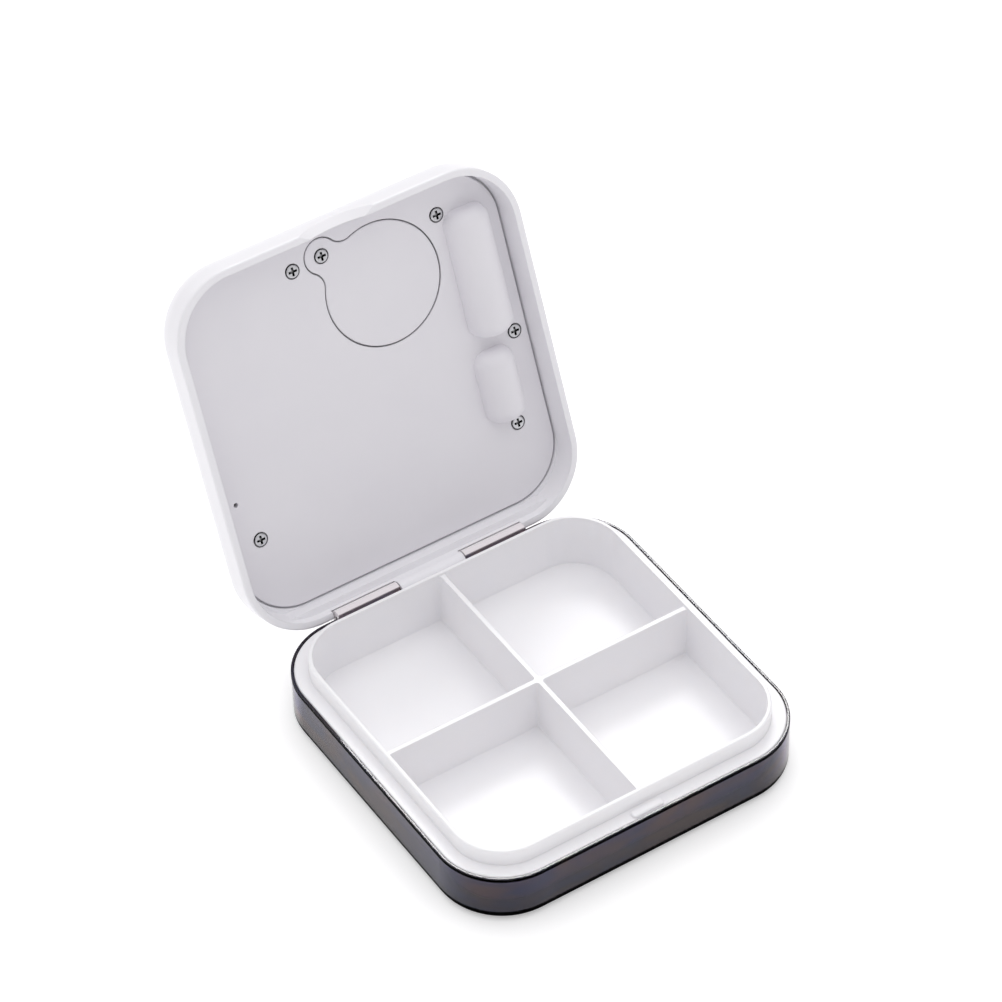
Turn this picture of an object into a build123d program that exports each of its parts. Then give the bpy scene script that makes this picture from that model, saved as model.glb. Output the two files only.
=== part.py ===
"""Medication reminder timer: a square pill box with the timer built into its hinged lid.

The box stands open. X runs along the hinge, Y towards the hinge, Z up, in millimetres.
The origin is the middle of the base's underside.
"""

import os
from math import atan2, cos, degrees, hypot, radians, sin

from build123d import *

os.makedirs("parts", exist_ok=True)

# Faces and points closer than this are on one level
same_level = 0.01

# Case, shared by base and lid
case_width = 80.0
case_depth = 80.0
corner_radius = 14.5

# Tinted base tub
base_height = 12.1
base_wall = 1.2
base_floor = 2.0
base_edge_radius = 2.5
lip_width = 0.5
lip_edge_radius = 0.2

# White tray in the tub
tray_clearance = 0.15
tray_base_radius = 1.2
flange_thickness = 1.2
flange_edge_radius = 0.35
ring_inset = 3.6
ring_rise = 3.85
ring_wall = 0.85
ring_corner_radius = 11.2
tray_floor = 1.2
divider_thickness = 1.0
divider_drop = 0.5
pocket_corner_radius = 0.6
pocket_floor_radius = 0.2
pocket_draft = 1.5
ring_edge_radius = 0.3

# Low bump on the tray's ledge, in the middle of the lid's finger scoop
bump_width = 7.2
bump_depth = 1.7
bump_height = 0.7
bump_front_inset = 0.95
bump_corner_radius = 0.6
bump_edge_radius = 0.45

# Hinge
open_angle = 112.0
hinge_drop = 0.3
knuckle_radius = 1.9
knuckle_clearance = 0.25
knuckle_end_gap = 0.3
base_knuckle_start = 8.0
base_knuckle_length = 14.6
pin_radius = 0.6
pin_running_clearance = 0.05
pin_reach = 4.7
pin_end_inset = 1.0

# White lid
lid_height = 11.6
lid_wall = 1.6
lid_face = 1.4
lid_edge_radius = 7.0
rim_edge_radius = 0.5
lid_seat_gap = 0.15
lid_inner_radius = 3.4
scoop_width = 18.0
scoop_outer_height = 3.1
scoop_inner_height = 1.4
cavity_wall = 3.6
rear_bar_depth = 1.55
rear_bar_level = 2.0

# Inner cover, measured from the lid's rim towards its outer face
cover_level = 5.4
cover_thickness = 1.2
cover_inset = 2.05
cover_gap = 0.4
cover_edge_radius = 0.25

# Rounded housings on the cover, measured from the case's right side and front
long_housing_side = 10.35
long_housing_front = 10.2
long_housing_length = 28.3
long_housing_radius = 5.05
long_housing_wall = 1.3
short_housing_side = 11.9
short_housing_length = 16.1
short_housing_radius = 4.5
short_housing_wall = 1.35
housing_end_gap = 3.1
housing_end_radius = 3.0
long_housing_x = case_width / 2 - long_housing_side
long_housing_start = long_housing_front - case_depth / 2
long_housing_end = long_housing_start + long_housing_length
short_housing_x = case_width / 2 - short_housing_side
short_housing_start = long_housing_end + housing_end_gap
short_housing_end = short_housing_start + short_housing_length

# Battery door, measured from the case's right side and front
door_side = 31.2
door_front_inset = 18.8
door_x = case_width / 2 - door_side
door_y = door_front_inset - case_depth / 2
door_opening_radius = 13.3
door_gap = 0.3
door_thickness = 1.0
door_edge_radius = 0.2
door_screw_left = 11.6
door_screw_forward = 10.85
door_screw_x = door_x - door_screw_left
door_screw_y = door_y - door_screw_forward
door_screw_length = 2.8

# Cover screws: one at the hinge's left, two beside the door, two beside the housings
left_screw_side = 8.4
left_screw_back = 20.7
front_screw_left = 18.5
front_screw_front = 8.5
front_screw_right = 15.1
front_screw_right_front = 9.8
middle_screw_side = 5.4
middle_screw_back = 1.9
rear_screw_side = 9.7
rear_screw_back = 2.0
left_screw_y = case_depth / 2 - left_screw_back
screw_places = [
    (left_screw_side - case_width / 2, left_screw_y),
    (door_x - front_screw_left, front_screw_front - case_depth / 2),
    (door_x + front_screw_right, front_screw_right_front - case_depth / 2),
    (case_width / 2 - middle_screw_side, long_housing_end + middle_screw_back),
    (case_width / 2 - rear_screw_side, short_housing_end + rear_screw_back),
]
screw_head_radius = 1.4
screw_head_height = 0.7
screw_head_edge_radius = 0.25
screw_sink = 0.5
screw_shank_radius = 0.75
screw_length = 4.0
screw_hole_clearance = 0.15
counterbore_clearance = 0.25
screw_boss_radius = 2.1
cross_length = 1.9
cross_width = 0.5
cross_depth = 0.45

# Battery well, cell and contacts
ear_opening_radius = 4.0
neck_radius = 3.2
ledge_radius = 14.8
ear_ledge_radius = 4.2
ledge_thickness = 0.8
well_radius = 10.4
well_wall = 1.2
well_height = 2.2
door_boss_radius = 2.6
door_boss_height = 1.8
cell_radius = 10.0
cell_thickness = 3.2
cell_edge_radius = 0.3
contact_thickness = 0.2
contact_width = 4.0
contact_slot_clearance = 0.4
contact_foot_length = 3.0
positive_tab_height = 1.6

# Circuit board and display
board_thickness = 0.8
board_side_inset = 6.0
board_back_inset = 7.0
board_housing_gap = 0.65
board_frame_margin = 0.8
tongue_door_gap = 0.8
tongue_front_inset = 12.0
board_corner_radius = 8.0
board_cut_clearance = 0.5
display_side_inset = 20.0
display_back_inset = 21.0
display_well_gap = 3.4
display_thickness = 1.9
frame_wall = 1.6
frame_clearance = 0.1
strip_width = 1.6
strip_inset = 1.5
window_cover = 2.0
window_margin = 2.3
window_thickness = 0.65
window_recess = 0.7
window_gap = 0.1
window_corner_radius = 2.0
chip_side_inset = 11.0
chip_front_gap = 2.5
chip_radius = 2.6
chip_height = 1.1
chip_edge_radius = 0.9

# Buttons on the outer face, and their switches
button_names = ["hour", "minute", "alarm"]
button_spacing = 16.0
button_back_inset = 14.0
button_radius = 3.4
button_flange_radius = 4.2
button_flange_height = 0.5
button_gap = 0.1
button_flange_gap = 0.05
button_proud = 0.3
button_travel = 0.3
button_edge_radius = 0.25
plunger_radius = 0.9
plunger_clearance = 0.1
plunger_insertion = 0.6
switch_size = 4.5
switch_height = 1.45

# Buzzer behind the sound hole
buzzer_side_inset = 10.0
buzzer_radius = 5.6
buzzer_height = 2.2
sound_hole_side_inset = 5.25
sound_hole_screw_gap = 9.25
sound_hole_radius = 0.5
buzzer_port_depth = 1.0

# Vibration motor in the long housing, and the capacitor in the short one
motor_radius = 3.75
motor_length = 12.0
motor_end_gap = 1.7
motor_edge_radius = 0.4
motor_bore_depth = 2.0
shaft_radius = 0.5
shaft_running_clearance = 0.05
shaft_end_gap = 0.3
weight_radius = 3.2
weight_bore_wall = 0.9
weight_length = 4.4
weight_gap = 1.2
pad_width = 4.4
pad_height = 1.8
pad_length = 8.0
capacitor_radius = 3.15
capacitor_length = 10.0
capacitor_edge_radius = 0.4
lead_radius = 0.3
lead_bend_radius = 0.9
lead_landing_inset = 1.3
lead_routes = {"red": (1.1, 3.8), "black": (-1.1, 1.6)}

# Places of the inner pieces
sound_hole_x = sound_hole_side_inset - case_width / 2
sound_hole_y = left_screw_y - sound_hole_screw_gap
buzzer_x = buzzer_side_inset - case_width / 2
buzzer_y = sound_hole_y
display_width = case_width - 2 * display_side_inset
display_back = case_depth / 2 - display_back_inset
display_front = door_y + ledge_radius + display_well_gap
display_depth = display_back - display_front
display_x = 0.0
display_y = (display_back + display_front) / 2
window_opening_width = display_width - 2 * window_cover
window_opening_depth = display_depth - 2 * window_cover
frame_front = display_front - frame_clearance - frame_wall
board_left = board_side_inset - case_width / 2
board_right = short_housing_x - short_housing_radius + short_housing_wall - board_housing_gap
board_front = frame_front - board_frame_margin
board_back = case_depth / 2 - board_back_inset
tongue_right = door_x - ledge_radius - tongue_door_gap
tongue_front = tongue_front_inset - case_depth / 2
chip_x = chip_side_inset - case_width / 2
chip_y = board_front - chip_front_gap
button_y = case_depth / 2 - button_back_inset
lead_landing_x = board_right - lead_landing_inset

# Levels in the base
tray_top = base_height + ring_rise
flange_level = base_height - flange_thickness
pocket_floor_level = base_floor + tray_floor
ring_width = case_width - 2 * ring_inset
ring_depth = case_depth - 2 * ring_inset
tub_width = case_width - 2 * base_wall
tub_depth = case_depth - 2 * base_wall
tub_corner = corner_radius - base_wall

# Hinge axis and the opened lid's own plane: X along the hinge, Y towards it, Z to the outer face
hinge_y = case_depth / 2
hinge_z = base_height - hinge_drop
opening = radians(open_angle)
rim_above_axis = hinge_drop + lid_seat_gap
lid_origin = (
    0,
    hinge_y - hinge_y * cos(opening) + rim_above_axis * sin(opening),
    hinge_z + hinge_y * sin(opening) + rim_above_axis * cos(opening),
)
lid_plane = Plane(origin=lid_origin, x_dir=(1, 0, 0), z_dir=(0, sin(opening), cos(opening)))

# Levels in the lid
cover_top = cover_level + cover_thickness
face_level = lid_height - lid_face
board_top = cover_top + board_thickness
display_level = face_level - display_thickness
door_level = cover_level + door_thickness
ledge_top = door_level + ledge_thickness
cell_top = door_level + cell_thickness
lid_along = lid_plane.y_dir


def lid_level(height):
    """Plane parallel to the lid's rim, this far towards its outer face."""
    return lid_plane.offset(height)


def lid_point(x, y, height):
    """Point of the opened lid, given across, towards the hinge and above its rim."""
    return lid_plane.from_local_coords((x, y, height))


def lid_section(x, y, height):
    """Plane across the lid's depth at a point, with X across and Y to the outer face."""
    return Plane(origin=lid_point(x, y, height), x_dir=(1, 0, 0), z_dir=-lid_along)


# Base tub, with its two knuckles either side of the lid's one
base_knuckle_end = base_knuckle_start + base_knuckle_length
base_knuckle_starts = [-base_knuckle_end, base_knuckle_start]
lid_knuckle_half = base_knuckle_start - knuckle_end_gap
# Each pin runs from inside the lid's knuckle to just short of the base knuckle's outer end
pin_start = base_knuckle_start - pin_reach
pin_length = base_knuckle_end - pin_end_inset - pin_start
pin_starts = {"left": -pin_start - pin_length, "right": pin_start}

with BuildPart() as base_shell:
    with BuildSketch():
        RectangleRounded(case_width, case_depth, corner_radius)
    extrude(amount=base_height)
    fillet(base_shell.faces().sort_by(Axis.Z)[0].edges(), base_edge_radius)
    fillet(base_shell.faces().sort_by(Axis.Z)[-1].edges(), lip_edge_radius)
    with BuildSketch(Plane.XY.offset(base_floor)):
        RectangleRounded(tub_width, tub_depth, tub_corner)
    extrude(amount=base_height - base_floor, mode=Mode.SUBTRACT)
    tub_floor = base_shell.faces().filter_by(Axis.Z).filter_by(
        lambda face: abs(face.center().Z - base_floor) < same_level
    )
    fillet(tub_floor.edges(), base_edge_radius - base_wall)
    # Shoulder for the tray's flange, inside a thin lip
    with BuildSketch(Plane.XY.offset(flange_level)):
        RectangleRounded(
            case_width - 2 * lip_width,
            case_depth - 2 * lip_width,
            corner_radius - lip_width,
        )
    extrude(amount=flange_thickness, mode=Mode.SUBTRACT)
    # Room for the lid's knuckle
    with BuildSketch(Plane.YZ):
        with Locations((hinge_y, hinge_z)):
            Circle(knuckle_radius + knuckle_clearance)
    extrude(amount=base_knuckle_start, both=True, mode=Mode.SUBTRACT)
    for start in base_knuckle_starts:
        with BuildSketch(Plane.YZ.offset(start)):
            with Locations((hinge_y, hinge_z)):
                Circle(knuckle_radius)
        extrude(amount=base_knuckle_length)
        with BuildSketch(Plane.YZ.offset(start)):
            with Locations((hinge_y, hinge_z)):
                Circle(pin_radius)
        extrude(amount=base_knuckle_length, mode=Mode.SUBTRACT)
base_shell.part.label = "base_shell"
export_step(base_shell.part, "parts/base_shell.step")


# Pill tray
flange_inset = lip_width + tray_clearance
inner_width = ring_width - 2 * ring_wall
inner_depth = ring_depth - 2 * ring_wall
inner_corner = ring_corner_radius - ring_wall

with BuildPart() as pill_tray:
    # Flange that lies on the tub's shoulder, with the low bump at mid-front
    with BuildSketch(Plane.XY.offset(flange_level)):
        RectangleRounded(
            case_width - 2 * flange_inset,
            case_depth - 2 * flange_inset,
            corner_radius - flange_inset,
        )
    extrude(amount=flange_thickness)
    fillet(pill_tray.faces().sort_by(Axis.Z)[-1].edges(), flange_edge_radius)
    with BuildSketch(Plane.XY.offset(flange_level)):
        with Locations((0, -case_depth / 2 + bump_front_inset + bump_depth / 2)):
            RectangleRounded(bump_width, bump_depth, bump_corner_radius)
    extrude(amount=flange_thickness + bump_height)
    fillet(pill_tray.faces().sort_by(Axis.Z)[-1].edges(), bump_edge_radius)
    with BuildSketch(Plane.XY.offset(base_floor)):
        RectangleRounded(ring_width, ring_depth, ring_corner_radius)
    extrude(amount=tray_top - base_floor)
    fillet(pill_tray.faces().sort_by(Axis.Z)[-1].edges(), ring_edge_radius)
    fillet(pill_tray.faces().sort_by(Axis.Z)[0].edges(), tray_base_radius)
    with BuildSketch(Plane.XY.offset(tray_top)):
        RectangleRounded(inner_width, inner_depth, inner_corner)
        Rectangle(divider_thickness, inner_depth, mode=Mode.SUBTRACT)
        Rectangle(inner_width, divider_thickness, mode=Mode.SUBTRACT)
        fillet(
            vertices().filter_by(lambda v: min(abs(v.X), abs(v.Y)) < divider_thickness),
            pocket_corner_radius,
        )
    extrude(amount=pocket_floor_level - tray_top, taper=pocket_draft, mode=Mode.SUBTRACT)
    pocket_floors = pill_tray.faces().filter_by(Axis.Z).filter_by(
        lambda face: abs(face.center().Z - pocket_floor_level) < same_level
    )
    fillet(pocket_floors.edges(), pocket_floor_radius)
    # The dividers stop a little below the ring wall
    with BuildSketch(Plane.XY.offset(tray_top)):
        RectangleRounded(inner_width, inner_depth, inner_corner)
    extrude(amount=-divider_drop, mode=Mode.SUBTRACT)
    # Room for all the knuckles
    with BuildSketch(Plane.YZ):
        with Locations((hinge_y, hinge_z)):
            Circle(knuckle_radius + knuckle_clearance)
    extrude(amount=base_knuckle_end + knuckle_end_gap, both=True, mode=Mode.SUBTRACT)
pill_tray.part.label = "pill_tray"
export_step(pill_tray.part, "parts/pill_tray.step")


# Hinge pins
for side, start in pin_starts.items():
    with BuildPart() as hinge_pin:
        with BuildSketch(Plane.YZ.offset(start)):
            with Locations((hinge_y, hinge_z)):
                Circle(pin_radius)
        extrude(amount=pin_length)
        chamfer(hinge_pin.faces().filter_by(Axis.X).edges(), pin_radius / 4)
    hinge_pin.part.label = f"hinge_pin_{side}"
    export_step(hinge_pin.part, f"parts/hinge_pin_{side}.step")


# Outline of the space for the cover: as wide as the lid's pocket, short at the hinge side
pocket_half_width = case_width / 2 - cover_inset
pocket_front = -case_depth / 2 + cover_inset
pocket_back = case_depth / 2 - lid_wall - rear_bar_depth
pocket_depth = pocket_back - pocket_front
pocket_middle = (pocket_back + pocket_front) / 2
pocket_corner = corner_radius - cover_inset
rim_draft = degrees(atan2(cover_inset - lid_wall, cover_level))
cavity_side = cavity_wall - cover_inset

# Finger scoop: a large cylinder lies along the slanted cut through the front wall, which also
# clears the bump on the tray's ledge
scoop_angle = atan2(scoop_outer_height - scoop_inner_height, lid_wall)
scoop_slant = lid_wall / cos(scoop_angle)
scoop_sagitta = scoop_outer_height * cos(scoop_angle)
scoop_radius = ((scoop_width / 2) ** 2 + scoop_sagitta**2) / (2 * scoop_sagitta)
# Directions across the lid's depth: outwards along the cut, and square to it
scoop_along = lid_plane.z_dir * sin(scoop_angle) - lid_along * cos(scoop_angle)
scoop_out = -lid_plane.z_dir * cos(scoop_angle) - lid_along * sin(scoop_angle)
scoop_centre = lid_point(0, -case_depth / 2, scoop_outer_height) + scoop_out * scoop_radius
scoop_plane = Plane(origin=scoop_centre, x_dir=(1, 0, 0), z_dir=scoop_along)

with BuildPart() as lid_shell:
    with BuildSketch(lid_level(0)):
        RectangleRounded(case_width, case_depth, corner_radius)
    extrude(amount=lid_height)
    lid_ends = lid_shell.faces().sort_by(Axis(lid_origin, lid_plane.z_dir))
    fillet(lid_ends[-1].edges(), lid_edge_radius)
    fillet(lid_ends[0].edges(), rim_edge_radius)
    # Recess that clears the tray's ring wall
    with BuildSketch(lid_level(0)):
        RectangleRounded(
            case_width - 2 * lid_wall,
            case_depth - 2 * lid_wall,
            corner_radius - lid_wall,
        )
    extrude(amount=cover_level, taper=rim_draft, mode=Mode.SUBTRACT)
    # Bar inside the hinge wall, from corner to corner
    with BuildSketch(lid_level(rear_bar_level)):
        RectangleRounded(case_width - lid_wall, case_depth - lid_wall, corner_radius - lid_wall / 2)
        with Locations((0, pocket_back)):
            Rectangle(case_width, case_depth, align=(Align.CENTER, Align.MAX), mode=Mode.SUBTRACT)
    extrude(amount=cover_top - rear_bar_level)
    # Seat for the inner cover
    with BuildSketch(lid_level(cover_level)):
        with Locations((0, pocket_middle)):
            RectangleRounded(2 * pocket_half_width, pocket_depth, pocket_corner)
    extrude(amount=cover_thickness, mode=Mode.SUBTRACT)
    # Space for the electronics
    with BuildSketch(lid_level(cover_top)):
        with Locations((0, pocket_middle)):
            RectangleRounded(
                2 * (pocket_half_width - cavity_side),
                pocket_depth - 2 * cavity_side,
                pocket_corner - cavity_side,
            )
    extrude(amount=face_level - cover_top, mode=Mode.SUBTRACT)
    cavity_roof = lid_shell.faces().filter_by(
        lambda face: abs((face.center() - lid_plane.origin).dot(lid_plane.z_dir) - face_level) < same_level
        and abs(face.normal_at().dot(lid_plane.z_dir)) > 0.99
    )
    fillet(cavity_roof.edges(), lid_inner_radius)
    # Bosses and pilot holes for the cover screws
    with BuildSketch(lid_level(cover_top)):
        with Locations(*screw_places):
            Circle(screw_boss_radius)
    extrude(amount=face_level - cover_top + lid_face / 4)
    with BuildSketch(lid_level(cover_top)):
        with Locations(*screw_places):
            Circle(screw_shank_radius)
    extrude(amount=face_level - cover_top, mode=Mode.SUBTRACT)
    # Display window: a recess for the pane, and the opening behind it
    with BuildSketch(lid_level(lid_height)):
        with Locations((display_x, display_y)):
            RectangleRounded(
                window_opening_width + 2 * window_margin,
                window_opening_depth + 2 * window_margin,
                window_corner_radius + window_margin / 2,
            )
    extrude(amount=-window_recess, mode=Mode.SUBTRACT)
    with BuildSketch(lid_level(lid_height)):
        with Locations((display_x, display_y)):
            RectangleRounded(window_opening_width, window_opening_depth, window_corner_radius)
    extrude(amount=-lid_face, mode=Mode.SUBTRACT)
    # Button holes
    with BuildSketch(lid_level(lid_height)):
        with Locations((0, button_y)):
            with GridLocations(button_spacing, button_spacing, len(button_names), 1):
                Circle(button_radius + button_gap)
    extrude(amount=-lid_face, mode=Mode.SUBTRACT)
    # Finger scoop
    with BuildSketch(scoop_plane):
        Circle(scoop_radius)
    extrude(amount=2 * scoop_slant, both=True, mode=Mode.SUBTRACT)
    # Room for the base's knuckles, then the lid's own knuckle with a pin bore from each end
    for start in base_knuckle_starts:
        with BuildSketch(Plane.YZ.offset(start - knuckle_end_gap)):
            with Locations((hinge_y, hinge_z)):
                Circle(knuckle_radius + knuckle_clearance)
        extrude(amount=base_knuckle_length + 2 * knuckle_end_gap, mode=Mode.SUBTRACT)
    with BuildSketch(Plane.YZ):
        with Locations((hinge_y, hinge_z)):
            Circle(knuckle_radius)
    extrude(amount=lid_knuckle_half, both=True)
    bore_start = pin_start - pin_end_inset
    for start in (-lid_knuckle_half, bore_start):
        with BuildSketch(Plane.YZ.offset(start)):
            with Locations((hinge_y, hinge_z)):
                Circle(pin_radius + pin_running_clearance)
        extrude(amount=lid_knuckle_half - bore_start, mode=Mode.SUBTRACT)
lid_shell.part.label = "lid_shell"
export_step(lid_shell.part, "parts/lid_shell.step")


def housing_outline(x, start, end, radius, end_radius):
    """Half outline of a rounded housing, from its long axis outwards."""
    with Locations((x + radius / 2, (start + end) / 2)):
        Rectangle(radius, end - start)
    fillet(vertices().filter_by(lambda v: v.X > x + radius / 2), end_radius)


def door_outline(inset):
    """Round outline with an ear for the screw, this far inside the door's opening."""
    round_radius = door_opening_radius - inset
    ear_radius = ear_opening_radius - inset
    with Locations((door_x, door_y)):
        Circle(round_radius)
    with Locations((door_screw_x, door_screw_y)):
        Circle(ear_radius)
    necks = vertices().filter_by(
        lambda v: abs(hypot(v.X - door_x, v.Y - door_y) - round_radius) < same_level
        and abs(hypot(v.X - door_screw_x, v.Y - door_screw_y) - ear_radius) < same_level
    )
    fillet(necks, neck_radius + inset)


# Inner cover, with the battery well behind it and the two housings in front
housings = [
    (long_housing_x, long_housing_start, long_housing_end, long_housing_radius, long_housing_wall),
    (short_housing_x, short_housing_start, short_housing_end, short_housing_radius, short_housing_wall),
]
slot_width = contact_width + contact_slot_clearance
slot_length = 2 * well_wall

with BuildPart() as inner_cover:
    with BuildSketch(lid_level(cover_level)):
        with Locations((0, pocket_middle)):
            RectangleRounded(
                2 * (pocket_half_width - cover_gap),
                pocket_depth - 2 * cover_gap,
                pocket_corner - cover_gap,
            )
    extrude(amount=cover_thickness)
    cover_front = inner_cover.faces().sort_by(Axis(lid_origin, lid_plane.z_dir))[0]
    fillet(cover_front.edges(), cover_edge_radius)
    # Ledge under the battery door, the cell's well and the boss for the door's screw
    with BuildSketch(lid_level(door_level)):
        with Locations((door_x, door_y)):
            Circle(ledge_radius)
        with Locations((door_screw_x, door_screw_y)):
            Circle(ear_ledge_radius)
    extrude(amount=ledge_thickness)
    with BuildSketch(lid_level(ledge_top)):
        with Locations((door_x, door_y)):
            Circle(well_radius + well_wall)
    extrude(amount=well_height)
    with BuildSketch(lid_level(door_level)):
        with Locations((door_x, door_y)):
            Circle(well_radius)
    extrude(amount=ledge_thickness + well_height, mode=Mode.SUBTRACT)
    with BuildSketch(lid_level(ledge_top)):
        with Locations((door_x - well_radius - well_wall / 2, door_y)):
            Rectangle(slot_length, slot_width)
    extrude(amount=well_height, mode=Mode.SUBTRACT)
    with BuildSketch(lid_level(ledge_top)):
        with Locations((door_screw_x, door_screw_y)):
            Circle(door_boss_radius)
    extrude(amount=door_boss_height)
    with BuildSketch(lid_level(cover_level)):
        door_outline(0)
    extrude(amount=door_thickness, mode=Mode.SUBTRACT)
    with BuildSketch(lid_level(cover_level + screw_sink)):
        with Locations((door_screw_x, door_screw_y)):
            Circle(screw_shank_radius)
    extrude(amount=door_screw_length, mode=Mode.SUBTRACT)
    # Housings for the vibration motor and the capacitor
    for x, start, end, radius, wall in housings:
        housing_axis = Axis(lid_point(x, 0, cover_level), lid_along)
        with BuildSketch(lid_level(cover_level)):
            housing_outline(x, start, end, radius, housing_end_radius)
        revolve(axis=housing_axis, revolution_arc=180)
        with BuildSketch(lid_level(cover_level)):
            housing_outline(x, start + wall, end - wall, radius - wall, housing_end_radius - wall)
        revolve(axis=housing_axis, mode=Mode.SUBTRACT)
    # Screw seats, screw holes and the sound hole
    with BuildSketch(lid_level(cover_level)):
        with Locations(*screw_places):
            Circle(screw_head_radius + counterbore_clearance)
    extrude(amount=screw_sink, mode=Mode.SUBTRACT)
    with BuildSketch(lid_level(cover_level)):
        with Locations(*screw_places):
            Circle(screw_shank_radius + screw_hole_clearance)
        with Locations((sound_hole_x, sound_hole_y)):
            Circle(sound_hole_radius)
    extrude(amount=cover_thickness, mode=Mode.SUBTRACT)
inner_cover.part.label = "inner_cover"
export_step(inner_cover.part, "parts/inner_cover.step")


# Battery door
with BuildPart() as battery_door:
    with BuildSketch(lid_level(cover_level)):
        door_outline(door_gap)
    extrude(amount=door_thickness)
    door_front = battery_door.faces().sort_by(Axis(lid_origin, lid_plane.z_dir))[0]
    fillet(door_front.edges(), door_edge_radius)
    with BuildSketch(lid_level(cover_level)):
        with Locations((door_screw_x, door_screw_y)):
            Circle(screw_head_radius + counterbore_clearance)
    extrude(amount=screw_sink, mode=Mode.SUBTRACT)
    with BuildSketch(lid_level(cover_level)):
        with Locations((door_screw_x, door_screw_y)):
            Circle(screw_shank_radius + screw_hole_clearance)
    extrude(amount=door_thickness, mode=Mode.SUBTRACT)
battery_door.part.label = "battery_door"
export_step(battery_door.part, "parts/battery_door.step")


# Cross-head screws: five for the cover, one for the door
screw_sets = {
    "cover_screws": (screw_places, screw_length),
    "battery_door_screw": ([(door_screw_x, door_screw_y)], door_screw_length),
}
head_bottom = cover_level + screw_sink
head_top = head_bottom - screw_head_height

for screws_name, (places, shank_length) in screw_sets.items():
    with BuildPart() as screws:
        with BuildSketch(lid_level(head_bottom)):
            with Locations(*places):
                Circle(screw_head_radius)
        extrude(amount=-screw_head_height)
        head_faces = screws.faces().filter_by(
            lambda face: abs((face.center() - lid_plane.origin).dot(lid_plane.z_dir) - head_top) < same_level
        )
        fillet(head_faces.edges(), screw_head_edge_radius)
        with BuildSketch(lid_level(head_top)):
            with Locations(*places):
                Rectangle(cross_length, cross_width)
                Rectangle(cross_width, cross_length)
        extrude(amount=cross_depth, mode=Mode.SUBTRACT)
        with BuildSketch(lid_level(head_bottom)):
            with Locations(*places):
                Circle(screw_shank_radius)
        extrude(amount=shank_length)
    screws.part.label = screws_name
    export_step(screws.part, f"parts/{screws_name}.step")


# Coin cell on the door, inside the well
with BuildPart() as coin_cell:
    with BuildSketch(lid_level(door_level)):
        with Locations((door_x, door_y)):
            Circle(cell_radius)
    extrude(amount=cell_thickness)
    fillet(coin_cell.edges(), cell_edge_radius)
coin_cell.part.label = "coin_cell"
export_step(coin_cell.part, "parts/coin_cell.step")


# Circuit board: a wide part under the display and a tongue beside the well
with BuildPart() as circuit_board:
    with BuildSketch(lid_level(cover_top)):
        with Locations((board_left, board_front)):
            Rectangle(board_right - board_left, board_back - board_front, align=Align.MIN)
        with Locations((board_left, tongue_front)):
            Rectangle(tongue_right - board_left, board_front - tongue_front, align=Align.MIN)
        fillet(vertices(), board_corner_radius)
        with Locations(*screw_places):
            Circle(screw_boss_radius + board_cut_clearance, mode=Mode.SUBTRACT)
        with Locations((buzzer_x, buzzer_y)):
            Circle(buzzer_radius + board_cut_clearance, mode=Mode.SUBTRACT)
    extrude(amount=board_thickness)
circuit_board.part.label = "circuit_board"
export_step(circuit_board.part, "parts/circuit_board.step")


# Contact spring on the cell's flat end, bent down to the board
negative_end = board_front + 2 * contact_thickness
with BuildPart() as battery_contact_negative:
    with BuildSketch(lid_level(cell_top)):
        with Locations((door_x, door_y)):
            Rectangle(contact_width, negative_end - door_y, align=(Align.CENTER, Align.MIN))
            Circle(contact_width / 2)
    extrude(amount=contact_thickness)
    with BuildSketch(lid_level(board_top)):
        with Locations((door_x, negative_end)):
            Rectangle(contact_width, contact_thickness, align=(Align.CENTER, Align.MAX))
    extrude(amount=cell_top - board_top)
battery_contact_negative.part.label = "battery_contact_negative"
export_step(battery_contact_negative.part, "parts/battery_contact_negative.step")


# Contact strip from the board through the well's slot, turned up against the cell's side
positive_left = tongue_right - contact_foot_length
positive_right = door_x - cell_radius
with BuildPart() as battery_contact_positive:
    with BuildSketch(lid_level(board_top)):
        with Locations((positive_left, door_y)):
            Rectangle(
                positive_right - positive_left,
                contact_width,
                align=(Align.MIN, Align.CENTER),
            )
    extrude(amount=contact_thickness)
    with BuildSketch(lid_level(board_top)):
        with Locations((positive_right, door_y)):
            Rectangle(contact_thickness, contact_width, align=(Align.MAX, Align.CENTER))
    extrude(amount=positive_tab_height)
battery_contact_positive.part.label = "battery_contact_positive"
export_step(battery_contact_positive.part, "parts/battery_contact_positive.step")


# Display with its frame, the two rubber connector strips and the window pane
frame_inner_width = display_width + 2 * frame_clearance
frame_inner_depth = display_depth + 2 * frame_clearance

with BuildPart() as lcd_display:
    with BuildSketch(lid_level(display_level)):
        with Locations((display_x, display_y)):
            Rectangle(display_width, display_depth)
    extrude(amount=display_thickness)
lcd_display.part.label = "lcd_display"
export_step(lcd_display.part, "parts/lcd_display.step")

with BuildPart() as lcd_frame:
    with BuildSketch(lid_level(board_top)):
        with Locations((display_x, display_y)):
            RectangleRounded(
                frame_inner_width + 2 * frame_wall,
                frame_inner_depth + 2 * frame_wall,
                frame_wall / 2,
            )
            Rectangle(frame_inner_width, frame_inner_depth, mode=Mode.SUBTRACT)
    extrude(amount=face_level - board_top)
lcd_frame.part.label = "lcd_frame"
export_step(lcd_frame.part, "parts/lcd_frame.step")

with BuildPart() as lcd_connector_strips:
    with BuildSketch(lid_level(board_top)):
        with Locations((display_x, display_y)):
            with GridLocations(1, display_depth - 2 * strip_inset, 1, 2):
                Rectangle(display_width - 2 * strip_inset, strip_width)
    extrude(amount=display_level - board_top)
lcd_connector_strips.part.label = "lcd_connector_strips"
export_step(lcd_connector_strips.part, "parts/lcd_connector_strips.step")

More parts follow.
